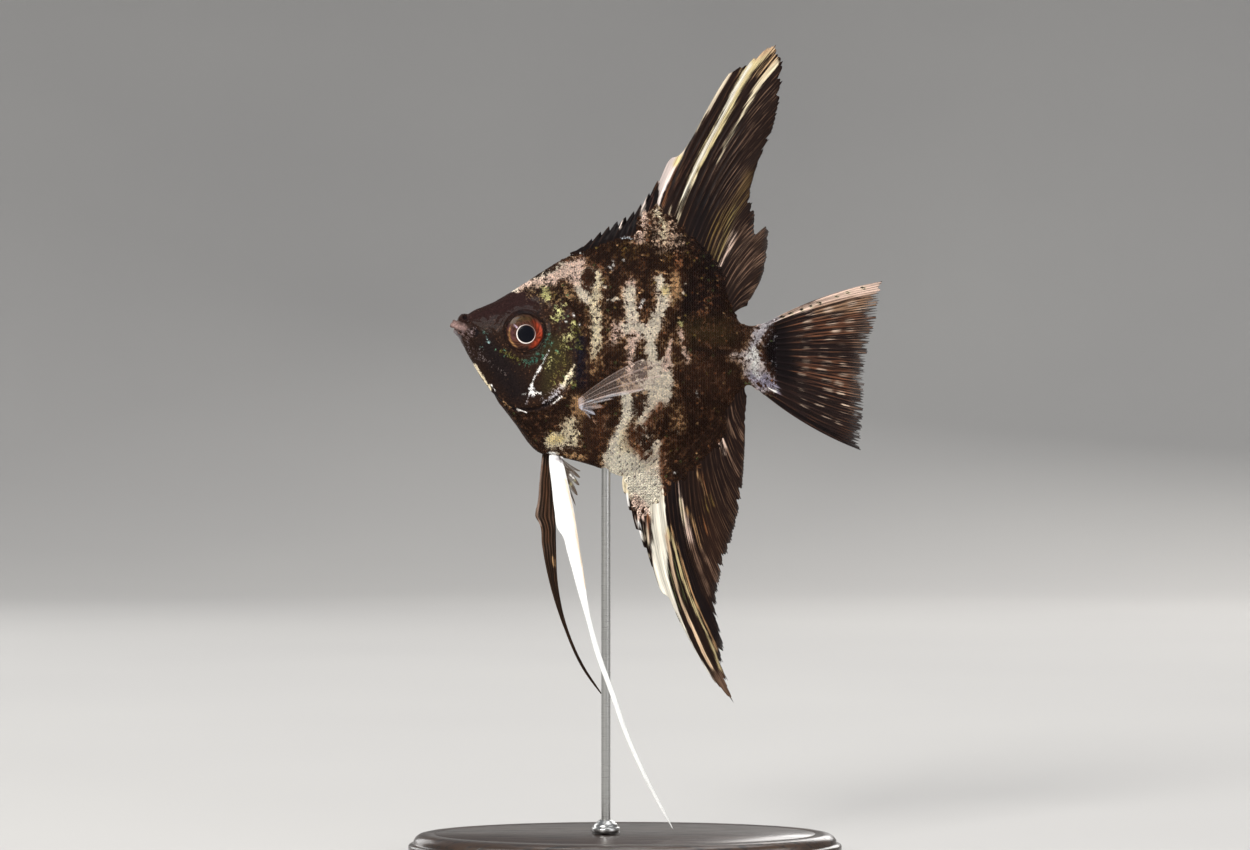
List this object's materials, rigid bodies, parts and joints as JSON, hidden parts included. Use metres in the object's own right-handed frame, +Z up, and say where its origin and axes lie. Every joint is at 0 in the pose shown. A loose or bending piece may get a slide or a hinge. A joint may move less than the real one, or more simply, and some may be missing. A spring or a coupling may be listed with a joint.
{
  "type": "marble angelfish model",
  "caption": "Life-size still model of a marble angelfish: tall thin body, swept dorsal and anal fins, trailing pelvic threads, held on a rod over an oval base.",
  "frame": {"origin": "middle of the stand base's flat underside", "axes": "+Z up out of the stand base; the fish swims toward -X with its left flank toward -Y"},
  "size_m": [0.1139, 0.054, 0.196],
  "materials": {
    "marbled_skin": "wet-looking scaled skin, brown-black with cream marbling and small green-gold glints",
    "lips": "soft pinkish grey",
    "eye": "clear cornea over a bronze and red iris and a black pupil",
    "fin_web": "thin dark web on fine rays, with cream streaks",
    "clear_fin_web": "clear web on pinkish grey rays",
    "white_fin_web": "bright white, satin",
    "stand_wood": "dark stained wood under satin lacquer",
    "stand_steel": "fine brushed"
  },
  "bodies": {
    "root": {"trunk": "marbled_skin", "head": "marbled_skin", "upper_jaw": "lips", "lower_jaw": "marbled_skin", "gill_cover_left": "marbled_skin", "gill_cover_right": "marbled_skin", "tail_stalk": "marbled_skin", "eye_left": "eye", "eye_right": "eye", "dorsal_fin": "fin_web", "anal_fin": "fin_web", "tail_fin": "fin_web", "pectoral_left": "clear_fin_web", "pectoral_right": "clear_fin_web", "pelvic_left": "white_fin_web", "pelvic_right": "fin_web", "stand_base": "stand_wood", "stand_rod": "stand_steel", "stand_collar": "stand_steel"}
  },
  "joints": []
}
